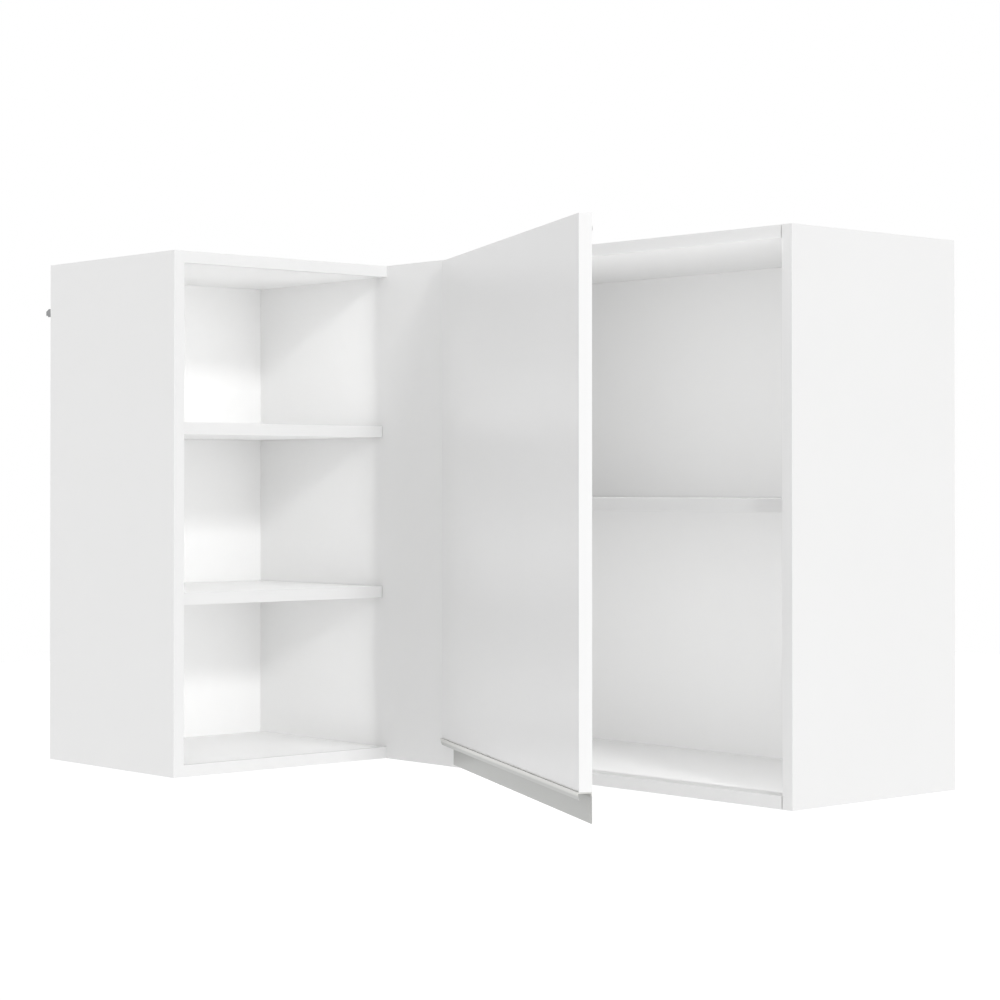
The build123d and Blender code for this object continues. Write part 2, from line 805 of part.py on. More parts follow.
def handle_profile():
    section = Plane(origin=(door_left, 0, 0), x_dir=BACKWARD, z_dir=RIGHT) * handle_section()
    profile = extrude(section, door_right - door_left)
    set_in = block(
        door_left, door_left + plate_set_in,
        door_back_y - profile_sheet, door_back_y,
        plate_bottom, door_bottom - profile_sheet,
    )
    return cut(profile, [set_in, *handle_screw_cuts()])


def door_bumper(z):
    foot = (door_right - board / 2, door_back_y, z)
    pad = rod(foot, BACKWARD, bumper_radius, bumper_height)
    return fillet(pad.faces().sort_by(Axis.Y)[-1].edges(), bumper_height / 3)


def swung(shape):
    """A piece of the closed door, swung ajar about the hinge pins."""
    return Pos(pin_x, pin_y, 0) * Rotation(0, 0, -door_ajar) * Pos(-pin_x, -pin_y, 0) * shape


# ---- Nodes
hinges = {"lower": hinge_low_z, "upper": hinge_high_z}
cam_joints = [joint for side in corner_deck_joints + open_deck_joints for joint in side[0]]
dowel_joints = [joint for side in corner_deck_joints + open_deck_joints for joint in side[1]]
dowel_joints += post_joints() + corner_front_joints()
plate_heads = [head for z in hinges.values() for head in plate_screw_heads(z)]
wing_heads = [head for z in hinges.values() for head in wing_screw_heads(z)]
bumper_heights = (door_bottom + bumper_margin, door_top - bumper_margin)

nodes = {
    "right_side_panel": [right_side_panel()],
    "corner_side_panel": [corner_side_panel()],
    "right_top_panel": [corner_deck(UP)],
    "right_bottom_panel": [corner_deck(DOWN)],
    "right_back_panel": [right_back_panel()],
    "hinge_post": [hinge_post()],
    "inner_shelf": [inner_shelf()],
    "inner_shelf_pins": [shelf_pin(place) for place in inner_pin_places()],
    "fixed_front_panel": [fixed_front_panel()],
    "open_end_panel": [open_end_panel()],
    "open_top_panel": [open_deck(UP)],
    "open_bottom_panel": [open_deck(DOWN)],
    "open_back_panel": [open_back_panel()],
    "upper_open_shelf": [open_shelf(open_shelf_levels()[-1])],
    "lower_open_shelf": [open_shelf(open_shelf_levels()[0])],
    "open_shelf_pins": [shelf_pin(place) for place in open_pin_places()],
    "cam_locks": [cam_lock(joint) for joint in cam_joints],
    "cam_bolts": [cam_bolt(joint) for joint in cam_joints],
    "wood_dowels": [dowel(joint) for joint in dowel_joints],
    "hinge_plate_screws": [screw(head, LEFT, plate_screw_length) for head in plate_heads],
    "hinge_arm_screws": [arm_screw(seat) for z in hinges.values() for seat in arm_screw_seats(z)],
    "hanger_fixing_screws": [solid for name in HANGER_CORNERS for solid in hanger_screws(name)],
    "hanger_adjusting_screws": [solid for name in HANGER_CORNERS for solid in adjusters(name)],
    "door_panel": [swung(door_panel())],
    "handle_profile": [swung(handle_profile())],
    "handle_screws": [swung(screw(head, UP, handle_screw_length)) for head in handle_screw_heads()],
    "hinge_cup_screws": [swung(screw(head, FORWARD, cup_screw_length)) for head in wing_heads],
    "door_bumpers": [swung(door_bumper(z)) for z in bumper_heights],
}
for level, z in hinges.items():
    nodes[f"{level}_hinge_cup"] = [swung(hinge_cup(z))]
    nodes[f"{level}_hinge_pin"] = [swung(pin_rod(z))]
    nodes[f"{level}_hinge_arm"] = [hinge_arm(z)]
    nodes[f"{level}_hinge_plate"] = [hinge_plate(z)]
for name in HANGER_CORNERS:
    nodes[f"{name}_hanger_housing"] = [hanger_housing(name)]
    nodes[f"{name}_hanger_hook"] = [hanger_hook(name)]
    nodes[f"{name}_hanger_cover"] = [hanger_cover(name)]

os.makedirs("parts", exist_ok=True)
for node, solids in nodes.items():
    shape = solids[0] if len(solids) == 1 else Compound(children=[s.solid() for s in solids])
    export_step(shape, f"parts/{node}.step")
print("nodes", len(nodes), "solids", sum(len(solids) for solids in nodes.values()))
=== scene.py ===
# %% [markdown]
# # A white corner wall cabinet
# The construction of this cabinet is finished before this script runs: every board, hinge part, screw
# and hanger arrives as an object with its true size and place. What is left is how it looks. The
# cabinet is almost all white on a white ground, so the picture lives from three things: small
# differences of light between its faces, soft shadows inside it, and finishes that differ in gloss.

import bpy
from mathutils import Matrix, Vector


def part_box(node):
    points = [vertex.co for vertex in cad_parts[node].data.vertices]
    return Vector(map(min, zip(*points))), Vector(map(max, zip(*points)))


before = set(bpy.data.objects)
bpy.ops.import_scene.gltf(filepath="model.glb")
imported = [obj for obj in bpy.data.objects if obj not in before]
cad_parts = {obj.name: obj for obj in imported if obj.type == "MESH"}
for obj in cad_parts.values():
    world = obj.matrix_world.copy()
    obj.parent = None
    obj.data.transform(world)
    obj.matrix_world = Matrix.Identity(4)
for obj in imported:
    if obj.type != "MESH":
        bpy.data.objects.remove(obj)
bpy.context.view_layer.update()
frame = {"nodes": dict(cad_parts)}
print("pieces of the cabinet", len(frame["nodes"]))

# %% Modules
from math import cos, radians, sin

import bpy
from mathutils import Vector

scene = bpy.context.scene
nodes = frame["nodes"]
print("scene", scene.name, "holds the nodes from", min(nodes), "to", max(nodes))

# %% [markdown]
# ## Building materials from small helpers
# A material is a graph of nodes. Written out in full, each node takes four lines, which hides the
# idea. The helpers here make one node or one link per call, so that a finish reads from top to
# bottom, from its texture to its shader.


# %% Helpers for node graphs
def add_node(tree, kind, **values):
    """A node with its settings. A value whose name is one of the node's inputs sets that input."""
    node = tree.nodes.new(kind)
    for name, value in values.items():
        label = name.replace("_", " ")
        if label in node.inputs:
            node.inputs[label].default_value = value
        else:
            setattr(node, name, value)
    return node


def join(tree, source, target):
    tree.links.new(source, target)


def calculate(tree, operation, first, second, clamp=False):
    """A Math node on two sockets or numbers. Returns its result."""
    node = add_node(tree, "ShaderNodeMath", operation=operation, use_clamp=clamp)
    for slot, value in zip(node.inputs, (first, second)):
        if isinstance(value, (int, float)):
            slot.default_value = value
        else:
            join(tree, value, slot)
    return node.outputs[0]


def blend_colors(tree, mask, first, second):
    """A colour that goes from first to second with the mask. Each is a socket or a colour."""
    node = add_node(tree, "ShaderNodeMix", data_type="RGBA")
    join(tree, mask, node.inputs["Factor"])
    for slot, value in zip((node.inputs["A"], node.inputs["B"]), (first, second)):
        color_slot = [s for s in node.inputs if s.name == slot.name and s.type == "RGBA"][0]
        if isinstance(value, tuple):
            color_slot.default_value = (*value, 1)
        else:
            join(tree, value, color_slot)
    return [s for s in node.outputs if s.type == "RGBA"][0]


def remap(tree, value, low, high):
    """Stretches a value from 0..1 to low..high."""
    node = add_node(tree, "ShaderNodeMapRange")
    join(tree, value, node.inputs["Value"])
    node.inputs["To Min"].default_value = low
    node.inputs["To Max"].default_value = high
    return node.outputs["Result"]


def new_group(name, inputs, outputs):
    """An empty shader node group. Inputs are (name, kind, value) and outputs are (name, kind)."""
    group = bpy.data.node_groups.new(name, "ShaderNodeTree")
    for label, kind, value in inputs:
        slot = group.interface.new_socket(label, in_out="INPUT", socket_type="NodeSocket" + kind)
        slot.default_value = value
    for label, kind in outputs:
        group.interface.new_socket(label, in_out="OUTPUT", socket_type="NodeSocket" + kind)
    entry = group.nodes.new("NodeGroupInput")
    result = group.nodes.new("NodeGroupOutput")
    return group, entry.outputs, result.inputs


def place_group(tree, group, **values):
    """The group as one node in a material, with its own values."""
    node = tree.nodes.new("ShaderNodeGroup")
    node.node_tree = group
    for name, value in values.items():
        node.inputs[name.replace("_", " ")].default_value = value
    return node.outputs


print("helpers ready")

# %% [markdown]
# ## Mottle: the unevenness that every real surface has
# Melamine, lacquer, plastic and plated steel are never the same all over: they are a little rougher
# here and a little greyer there. A noise texture in object space gives that. Object space is best
# because these objects all keep the cabinet's own frame, so a pattern keeps its true scale in metres
# and runs on over a joint in the same way on every board. As almost every finish uses it, it is a
# group.


# %% The mottle group
def build_mottle():
    group, given, out = new_group(
        "Mottle",
        [("Scale", "Float", 40.0), ("Detail", "Float", 3.0)],
        [("Mottle", "Float")],
    )
    place = add_node(group, "ShaderNodeTexCoord")
    noise = add_node(group, "ShaderNodeTexNoise", Roughness=0.6)
    join(group, place.outputs["Object"], noise.inputs["Vector"])
    join(group, given["Scale"], noise.inputs["Scale"])
    join(group, given["Detail"], noise.inputs["Detail"])
    join(group, noise.outputs["Fac"], out["Mottle"])
    return group


mottle = build_mottle()
print("group", mottle.name, "for", len(nodes), "pieces")

# %% [markdown]
# ## Drawn lines: extruded and rolled metal
# An extruded profile carries fine lines along its length, and rolled steel along the roll. Noise
# that is squeezed across one direction and stretched along it gives those lines. The turn input
# lays the lines along the door, which stands ajar, so the profile's own direction isn't an axis.


# %% The drawn lines group
def build_drawn_lines():
    group, given, out = new_group(
        "Drawn Lines",
        [("Turn", "Vector", (0, 0, 0)), ("Stretch", "Vector", (1, 100, 100)),
         ("Scale", "Float", 12.0)],
        [("Lines", "Float")],
    )
    place = add_node(group, "ShaderNodeTexCoord")
    turned = add_node(group, "ShaderNodeMapping")
    join(group, place.outputs["Object"], turned.inputs["Vector"])
    join(group, given["Turn"], turned.inputs["Rotation"])
    stretched = add_node(group, "ShaderNodeVectorMath", operation="MULTIPLY")
    join(group, turned.outputs["Vector"], stretched.inputs[0])
    join(group, given["Stretch"], stretched.inputs[1])
    noise = add_node(group, "ShaderNodeTexNoise", Detail=4.0, Roughness=0.7)
    join(group, stretched.outputs[0], noise.inputs["Vector"])
    join(group, given["Scale"], noise.inputs["Scale"])
    join(group, noise.outputs["Fac"], out["Lines"])
    return group


drawn_lines = build_drawn_lines()
print("group", drawn_lines.name)

# %% [markdown]
# ## Rear faces: where the white finish stops
# Only what shows in a kitchen is white. The rear edges of the boards are bare chipboard and the rear
# of the thin back is bare hardboard. One mask serves both: it is 1 where the surface looks the rear
# way and lies within a given distance of the wall's plane, and 0 elsewhere. Two directions of
# length 1 that agree have a dot product of 1, so anything above 0.9 counts as straight.


# %% The rear face group
straight = 0.9


def build_rear_face():
    group, given, out = new_group(
        "Rear Face",
        [("Rear Way", "Vector", (0, 1, 0)), ("Depth", "Float", 0.001)],
        [("Mask", "Float")],
    )
    geometry = add_node(group, "ShaderNodeNewGeometry")
    facing = add_node(group, "ShaderNodeVectorMath", operation="DOT_PRODUCT")
    join(group, geometry.outputs["True Normal"], facing.inputs[0])
    join(group, given["Rear Way"], facing.inputs[1])
    place = add_node(group, "ShaderNodeTexCoord")
    along = add_node(group, "ShaderNodeVectorMath", operation="DOT_PRODUCT")
    join(group, place.outputs["Object"], along.inputs[0])
    join(group, given["Rear Way"], along.inputs[1])
    looks_back = calculate(group, "GREATER_THAN", facing.outputs["Value"], straight)
    depth_from_wall = calculate(group, "MULTIPLY", along.outputs["Value"], -1)
    near_wall = calculate(group, "LESS_THAN", depth_from_wall, given["Depth"])
    join(group, calculate(group, "MULTIPLY", looks_back, near_wall), out["Mask"])
    return group


rear_face = build_rear_face()
print("group", rear_face.name)

# %% [markdown]
# ## Front edges: the banded strips
# The edges that look out of the cabinet carry a strip of thin plastic band, which is smoother than
# the melamine faces. Their colour is also a little whiter, which is painted light that brightens the
# front edges against the shade that falls on them. On these boards only the banded edges look
# straight to the front of their module, so the direction of the surface is enough to find them.


# %% The front edge group
def build_front_edge():
    group, given, out = new_group(
        "Front Edge", [("Front Way", "Vector", (0, -1, 0))], [("Mask", "Float")]
    )
    geometry = add_node(group, "ShaderNodeNewGeometry")
    facing = add_node(group, "ShaderNodeVectorMath", operation="DOT_PRODUCT")
    join(group, geometry.outputs["True Normal"], facing.inputs[0])
    join(group, given["Front Way"], facing.inputs[1])
    looks_out = calculate(group, "GREATER_THAN", facing.outputs["Value"], straight)
    join(group, looks_out, out["Mask"])
    return group


front_edge = build_front_edge()
print("group", front_edge.name)

# %% [markdown]
# ## Chipboard: pressed wood chips
# The core of a board is pressed from chips a few millimetres long, pale to brown, with darker gaps.
# Cells of a Voronoi texture, each with its own random colour value, make chips. A fine noise bends
# the place at which the texture is read, so the chips get ragged edges in place of straight ones.


# %% The chipboard group
chip_size = 0.0022
chip_raggedness = 0.002
chip_dark = (0.30, 0.19, 0.10)
chip_pale = (0.62, 0.47, 0.30)


def build_chipboard():
    group, given, out = new_group(
        "Chipboard",
        [("Chip Size", "Float", chip_size)],
        [("Color", "Color"), ("Height", "Float")],
    )
    place = add_node(group, "ShaderNodeTexCoord")
    jitter = add_node(group, "ShaderNodeTexNoise", Scale=300.0, Detail=2.0)
    join(group, place.outputs["Object"], jitter.inputs["Vector"])
    shift = add_node(group, "ShaderNodeVectorMath", operation="SCALE", Scale=chip_raggedness)
    join(group, jitter.outputs["Color"], shift.inputs[0])
    warped = add_node(group, "ShaderNodeVectorMath", operation="ADD")
    join(group, place.outputs["Object"], warped.inputs[0])
    join(group, shift.outputs[0], warped.inputs[1])
    chips = add_node(group, "ShaderNodeTexVoronoi")
    join(group, warped.outputs[0], chips.inputs["Vector"])
    join(group, calculate(group, "DIVIDE", 1.0, given["Chip Size"]), chips.inputs["Scale"])
    tone = add_node(group, "ShaderNodeSeparateColor")
    join(group, chips.outputs["Color"], tone.inputs["Color"])
    ramp = add_node(group, "ShaderNodeValToRGB")
    ramp.color_ramp.elements[0].color = (*chip_dark, 1)
    ramp.color_ramp.elements[1].color = (*chip_pale, 1)
    join(group, tone.outputs["Red"], ramp.inputs["Fac"])
    join(group, ramp.outputs["Color"], out["Color"])
    join(group, chips.outputs["Distance"], out["Height"])
    return group


chipboard = build_chipboard()
print("group", chipboard.name)

# %% [markdown]
# ## From a finish to a material
# Each finish ends in one Principled shader. Values that are the same all over the surface, such as
# the metallic value, are set on the shader itself. Colour, roughness and the bump's height change
# over the surface, so they come in through links.


# %% The material's frame
def new_finish(name, **constants):
    """A material with one Principled shader, with its constant inputs set."""
    material = bpy.data.materials.new(name)
    material.use_nodes = True
    tree = material.node_tree
    shader = tree.nodes["Principled BSDF"]
    for label, value in constants.items():
        shader.inputs[label.replace("_", " ")].default_value = value
    return material, tree, shader


def add_bump(tree, shader, height, strength, distance):
    """A fine relief on the shader. Distance is the relief's depth in metres."""
    bump = add_node(tree, "ShaderNodeBump", Strength=strength, Distance=distance)
    join(tree, height, bump.inputs["Height"])
    join(tree, bump.outputs["Normal"], shader.inputs["Normal"])


def dress(material, *names):
    """Gives the material to CAD pieces by their names."""
    for name in names:
        mesh = nodes[name].data
        mesh.materials.clear()
        mesh.materials.append(material)
    print(material.name, "on", len(names), "pieces")


print("material helpers ready")

# %% [markdown]
# ## White melamine
# The boards are chipboard with a white melamine skin: a satin paper finish with a very fine pearl
# grain. Its white is neutral and sends back about nine tenths of the light, which leaves the light
# room to make it brighter or darker. The fixed front has a touch greyer white, which is painted
# shade for the shade that the door, standing ajar, throws on it. The roughness wanders a little with
# the mottle, is lower on the band and higher on bare chipboard.

# %% Melamine boards
melamine_white = (0.90, 0.90, 0.898)
melamine_shade = (0.885, 0.885, 0.882)
# These two greys are painted shade on the fixed front, for the shade the open door throws on it; the
# corner module's back uses them too.
greyer_white_and_painted_shade = (0.875, 0.875, 0.873)
greyer_mottle_and_painted_shade = (0.86, 0.86, 0.857)
# The band's whiter white is painted light: it brightens the banded front edges against the shade that
# falls on them.
painted_light_band_white = (0.93, 0.93, 0.928)
band_polish = 0.1
bare_roughness = 0.4
bare_edge_depth = 0.001


def melamine(name, rear_way, white, shade):
    material, tree, shader = new_finish(name, IOR=1.45)
    front_way = tuple(-part for part in rear_way)
    clouds = place_group(tree, mottle, Scale=9.0, Detail=3.0)["Mottle"]
    pearl = place_group(tree, mottle, Scale=1400.0, Detail=2.0)["Mottle"]
    band_and_painted_light = place_group(tree, front_edge, Front_Way=front_way)["Mask"]
    bare = place_group(tree, rear_face, Rear_Way=rear_way, Depth=bare_edge_depth)["Mask"]
    core = place_group(tree, chipboard, Chip_Size=chip_size)
    faces = blend_colors(tree, clouds, white, shade)
    # Painted light: the banded front edges take the whiter white; the same mask also lowers their
    # roughness.
    faces_and_painted_light_edges = blend_colors(tree, band_and_painted_light, faces, painted_light_band_white)
    join(tree, blend_colors(tree, bare, faces_and_painted_light_edges, core["Color"]), shader.inputs["Base Color"])
    satin = remap(tree, clouds, low=0.42, high=0.5)
    sheen = calculate(tree, "SUBTRACT", satin, calculate(tree, "MULTIPLY", band_and_painted_light, band_polish))
    dull = calculate(tree, "MULTIPLY", bare, bare_roughness)
    join(tree, calculate(tree, "ADD", sheen, dull, clamp=True), shader.inputs["Roughness"])
    relief = calculate(tree, "ADD", pearl, calculate(tree, "MULTIPLY", bare, core["Height"]))
    add_bump(tree, shader, relief, strength=0.12, distance=0.00005)
    return material


corner_board = melamine("Melamine Corner Module", (0, 1, 0), melamine_white, melamine_shade)
open_board = melamine("Melamine Open Module", (-1, 0, 0), melamine_white, melamine_shade)
# The fixed front's greyer white is painted shade, for the shade the open door throws on it.
front_board = melamine("Melamine Fixed Front Painted Shade", (-1, 0, 0), greyer_white_and_painted_shade, greyer_mottle_and_painted_shade)
dress(
    corner_board, "right_side_panel", "corner_side_panel", "right_top_panel", "right_bottom_panel",
    "hinge_post", "inner_shelf",
)
dress(
    open_board, "open_end_panel", "open_top_panel", "open_bottom_panel", "upper_open_shelf",
    "lower_open_shelf",
)
dress(front_board, "fixed_front_panel")

# %% [markdown]
# ## The door's lacquer
# The door is smoother than the boards: a white lacquer with a soft gloss, in which the cabinet and
# the room show as blurred, slightly darker shapes. A lower roughness and a clear coat give that. Its
# free edge is banded and takes the band's whiter white, which is painted light. The door stands
# ajar, so that edge looks a turned way, and the mask fits the door in that pose only.

# %% Lacquered door
ajar = radians(26)
lacquer_white = (0.816, 0.816, 0.816)
lacquer_shade = (0.806, 0.806, 0.806)


def lacquer():
    material, tree, shader = new_finish(
        "White Lacquer", IOR=1.5, Coat_Weight=0.25, Coat_Roughness=0.12
    )
    clouds = place_group(tree, mottle, Scale=6.0, Detail=2.0)["Mottle"]
    ripple = place_group(tree, mottle, Scale=160.0, Detail=1.0)["Mottle"]
    # Painted light: the door's free edge takes the band's whiter white.
    free_edge_painted_light = place_group(tree, front_edge, Front_Way=(cos(ajar), -sin(ajar), 0))["Mask"]
    faces = blend_colors(tree, clouds, lacquer_white, lacquer_shade)
    join(tree, blend_colors(tree, free_edge_painted_light, faces, painted_light_band_white), shader.inputs["Base Color"])
    join(tree, remap(tree, clouds, low=0.26, high=0.32), shader.inputs["Roughness"])
    add_bump(tree, shader, ripple, strength=0.05, distance=0.0001)
    return material


dress(lacquer(), "door_panel")

# %% [markdown]
# ## The thin backs
# Hardboard is pressed from fine fibres. Its inner face is lacquered white to match the boards, and
# its rear stays brown with short, woolly fibre marks. The rear face group picks the side. It looks
# further in than for a board, because the backs lie 4 mm inside the rear edges. The back of the open
# module faces the key light and would go pure white, so its white is a little greyer.

# %% Hardboard backs
hardboard_brown = (0.33, 0.20, 0.11)
hardboard_light = (0.45, 0.30, 0.17)
open_back_white = (0.845, 0.845, 0.843)
open_back_shade = (0.83, 0.83, 0.827)
back_depth = 0.006
lacquered_roughness = 0.45
fibre_roughness = 0.35
fibre_under_lacquer = 0.15


def hardboard(name, rear_way, front_white, front_shade):
    material, tree, shader = new_finish(name, IOR=1.45)
    clouds = place_group(tree, mottle, Scale=8.0, Detail=3.0)["Mottle"]
    fibre = place_group(tree, mottle, Scale=700.0, Detail=5.0)["Mottle"]
    white = blend_colors(tree, clouds, front_white, front_shade)
    brown = blend_colors(tree, fibre, hardboard_brown, hardboard_light)
    bare = place_group(tree, rear_face, Rear_Way=rear_way, Depth=back_depth)["Mask"]
    join(tree, blend_colors(tree, bare, white, brown), shader.inputs["Base Color"])
    woolly = calculate(tree, "MULTIPLY", bare, fibre_roughness)
    rough = calculate(tree, "ADD", woolly, lacquered_roughness)
    join(tree, rough, shader.inputs["Roughness"])
    depth = calculate(tree, "ADD", bare, fibre_under_lacquer)
    relief = calculate(tree, "MULTIPLY", fibre, depth)
    add_bump(tree, shader, relief, strength=0.2, distance=0.0001)
    return material


corner_back = hardboard("Hardboard Corner Module", (0, 1, 0), greyer_white_and_painted_shade, greyer_mottle_and_painted_shade)
open_back = hardboard("Hardboard Open Module", (-1, 0, 0), open_back_white, open_back_shade)
dress(corner_back, "right_back_panel")
dress(open_back, "open_back_panel")

# %% [markdown]
# ## Satin aluminium
# The profile under the door is extruded and anodised: a mid grey metal with a satin gloss and very
# fine lines along its length. The anodised skin scatters part of the light, so the finish is only
# half metallic: the metallic half mirrors the bright room, while the other half darkens under the
# slanted lip as any grey surface would. The lip's upper half is painted paler, a painted highlight
# for the light its upturned face catches, so it shows as a paler band along the door: the values
# where it starts and where it is full are heights above the cabinet's underside. The lines follow
# the door, which is turned as it stands ajar.

# %% Aluminium profile
aluminium_dark = (0.40, 0.405, 0.395)
aluminium_light = (0.485, 0.49, 0.475)
# Painted highlight: a paler colour on the lip's upper half, between the two heights below, for the
# light it catches.
lip_painted_highlight = (0.66, 0.66, 0.635)
highlight_start = 0.0345
highlight_full = 0.0375
cloudy_roughness = 0.06


def satin_aluminium():
    material, tree, shader = new_finish("Satin Aluminium", Metallic=0.5, IOR=1.45)
    lines = place_group(
        tree, drawn_lines, Turn=(0, 0, ajar), Stretch=(1.5, 400, 400), Scale=10.0
    )["Lines"]
    clouds = place_group(tree, mottle, Scale=15.0, Detail=3.0)["Mottle"]
    grey = blend_colors(tree, lines, aluminium_dark, aluminium_light)
    place = add_node(tree, "ShaderNodeTexCoord")
    height = add_node(tree, "ShaderNodeSeparateXYZ")
    join(tree, place.outputs["Object"], height.inputs[0])
    highlight_mask = add_node(tree, "ShaderNodeMapRange", From_Min=highlight_start, From_Max=highlight_full)
    join(tree, height.outputs["Z"], highlight_mask.inputs["Value"])
    # Painted highlight on the lip's upper half.
    color = blend_colors(tree, highlight_mask.outputs["Result"], grey, lip_painted_highlight)
    join(tree, color, shader.inputs["Base Color"])
    streaks = remap(tree, lines, low=0.24, high=0.36)
    haze = calculate(tree, "MULTIPLY", clouds, cloudy_roughness)
    join(tree, calculate(tree, "ADD", streaks, haze), shader.inputs["Roughness"])
    add_bump(tree, shader, lines, strength=0.15, distance=0.00003)
    return material


dress(satin_aluminium(), "handle_profile")

# %% [markdown]
# ## Plated steel
# Hinges are nickel plated and bright. Screws, cams and pins have a duller zinc skin, cloudy and a
# little blue, and the thick hooks of the hangers are darker still, as the photograph shows at the
# one hook it has. One function makes all three, as they differ only in colour, in roughness and in
# the size of their clouds.


# %% Nickel, zinc and hook steel
def plated_steel(name, dark, light, roughness, cloud_scale):
    """Dark and light are the colours of the clouds, and roughness is its lowest and highest value."""
    material, tree, shader = new_finish(name, Metallic=1.0)
    clouds = place_group(tree, mottle, Scale=cloud_scale, Detail=4.0)["Mottle"]
    grain = place_group(tree, mottle, Scale=2500.0, Detail=2.0)["Mottle"]
    join(tree, blend_colors(tree, clouds, dark, light), shader.inputs["Base Color"])
    join(tree, remap(tree, clouds, *roughness), shader.inputs["Roughness"])
    add_bump(tree, shader, grain, strength=0.1, distance=0.00003)
    return material


nickel = plated_steel(
    "Nickel Plate", dark=(0.62, 0.60, 0.57), light=(0.74, 0.72, 0.69), roughness=(0.14, 0.26),
    cloud_scale=60.0,
)
zinc = plated_steel(
    "Zinc Plate", dark=(0.50, 0.51, 0.53), light=(0.68, 0.69, 0.71), roughness=(0.28, 0.46),
    cloud_scale=120.0,
)
hook_steel = plated_steel(
    "Hook Steel", dark=(0.22, 0.225, 0.23), light=(0.36, 0.365, 0.37), roughness=(0.30, 0.48),
    cloud_scale=120.0,
)
print("metals", nickel.name, zinc.name, hook_steel.name)

# %% Metal pieces
for level in ("upper", "lower"):
    dress(
        nickel, f"{level}_hinge_cup", f"{level}_hinge_pin", f"{level}_hinge_arm",
        f"{level}_hinge_plate",
    )
dress(
    zinc, "cam_locks", "cam_bolts", "inner_shelf_pins", "open_shelf_pins", "hinge_plate_screws",
    "hinge_arm_screws", "hinge_cup_screws", "handle_screws", "hanger_fixing_screws",
    "hanger_adjusting_screws",
)
dress(hook_steel, "open_hanger_hook", "corner_hanger_hook", "right_hanger_hook")

# %% [markdown]
# ## Small parts
# The hanger housings and their covers are moulded in white plastic with a fine spark-eroded grain.
# The dowels are beech, with its short dark flecks along the grain. The bumpers are soft, clear pads,
# which let part of the light through.


# %% Plastic, beech and soft pads
plastic_white = (0.84, 0.84, 0.83)
plastic_shade = (0.80, 0.80, 0.79)
beech_dark = (0.52, 0.33, 0.18)
beech_light = (0.74, 0.54, 0.34)
pad_light = (0.86, 0.86, 0.85)
pad_shade = (0.78, 0.78, 0.77)


def moulded_plastic():
    material, tree, shader = new_finish("Moulded Plastic", IOR=1.46)
    clouds = place_group(tree, mottle, Scale=30.0, Detail=2.0)["Mottle"]
    spark = place_group(tree, mottle, Scale=3000.0, Detail=3.0)["Mottle"]
    white = blend_colors(tree, clouds, plastic_white, plastic_shade)
    join(tree, white, shader.inputs["Base Color"])
    join(tree, remap(tree, spark, low=0.48, high=0.62), shader.inputs["Roughness"])
    add_bump(tree, shader, spark, strength=0.25, distance=0.00005)
    return material


def beech():
    material, tree, shader = new_finish("Beech", IOR=1.45)
    flecks = place_group(tree, drawn_lines, Stretch=(30, 6, 30), Scale=40.0)["Lines"]
    wood = blend_colors(tree, flecks, beech_dark, beech_light)
    join(tree, wood, shader.inputs["Base Color"])
    join(tree, remap(tree, flecks, low=0.75, high=0.6), shader.inputs["Roughness"])
    add_bump(tree, shader, flecks, strength=0.3, distance=0.0001)
    return material


def soft_pad():
    material, tree, shader = new_finish("Soft Clear Pad", IOR=1.5, Transmission_Weight=0.35)
    clouds = place_group(tree, mottle, Scale=200.0, Detail=2.0)["Mottle"]
    pale = blend_colors(tree, clouds, pad_light, pad_shade)
    join(tree, pale, shader.inputs["Base Color"])
    join(tree, remap(tree, clouds, low=0.3, high=0.45), shader.inputs["Roughness"])
    return material


dress(
    moulded_plastic(), "open_hanger_housing", "corner_hanger_housing", "right_hanger_housing",
    "open_hanger_cover", "corner_hanger_cover", "right_hanger_cover",
)
dress(beech(), "wood_dowels")
dress(soft_pad(), "door_bumpers")

# %% [markdown]
# ## Camera
# The photograph is taken from the height of the cabinet's middle, from about four metres away,
# with a long lens that looks very slightly up. A small vertical shift stands for the way the
# picture was cropped. These values were found by matching the straight edges of the cabinet.

# %% Camera
camera_place = (3.0389, -2.5245, 0.3861)
camera_turn = 48.3069
camera_pitch = 0.6149
lens_length = 88.845
picture_width = 36
picture_shift = -0.04

camera_data = bpy.data.cameras.new("Camera")
camera_data.lens = lens_length
camera_data.sensor_width = picture_width
camera_data.shift_y = picture_shift
camera = bpy.data.objects.new("Camera", camera_data)
camera.location = camera_place
camera.rotation_euler = (radians(90 + camera_pitch), 0, radians(camera_turn))
scene.collection.objects.link(camera)
scene.camera = camera
print("camera at", [round(v, 3) for v in camera.location])

# %% [markdown]
# ## The world: a white tent
# To the camera, in every reflection and through the clear pads, the world is pure white, which gives
# the white ground of the picture. As a light it is weaker. Light from all sides is what a white tent
# gives, and it shows every side of the cabinet, but at full strength it would wash out the small
# differences between the faces, which the lamps bring in.

# %% World
world_glow = 0.648
world_seen = 1.0

world = bpy.data.worlds.new("Studio Tent")
scene.world = world
world.use_nodes = True
tree = world.node_tree
background = tree.nodes["Background"]
background.inputs["Color"].default_value = (1, 1, 1, 1)
ray = add_node(tree, "ShaderNodeLightPath")
seen = calculate(tree, "ADD", ray.outputs["Is Camera Ray"], ray.outputs["Is Glossy Ray"])
seen = calculate(tree, "ADD", seen, ray.outputs["Is Transmission Ray"], clamp=True)
join(tree, remap(tree, seen, world_glow, world_seen), background.inputs["Strength"])
print("world seen", world_seen, "and as a light", world_glow)

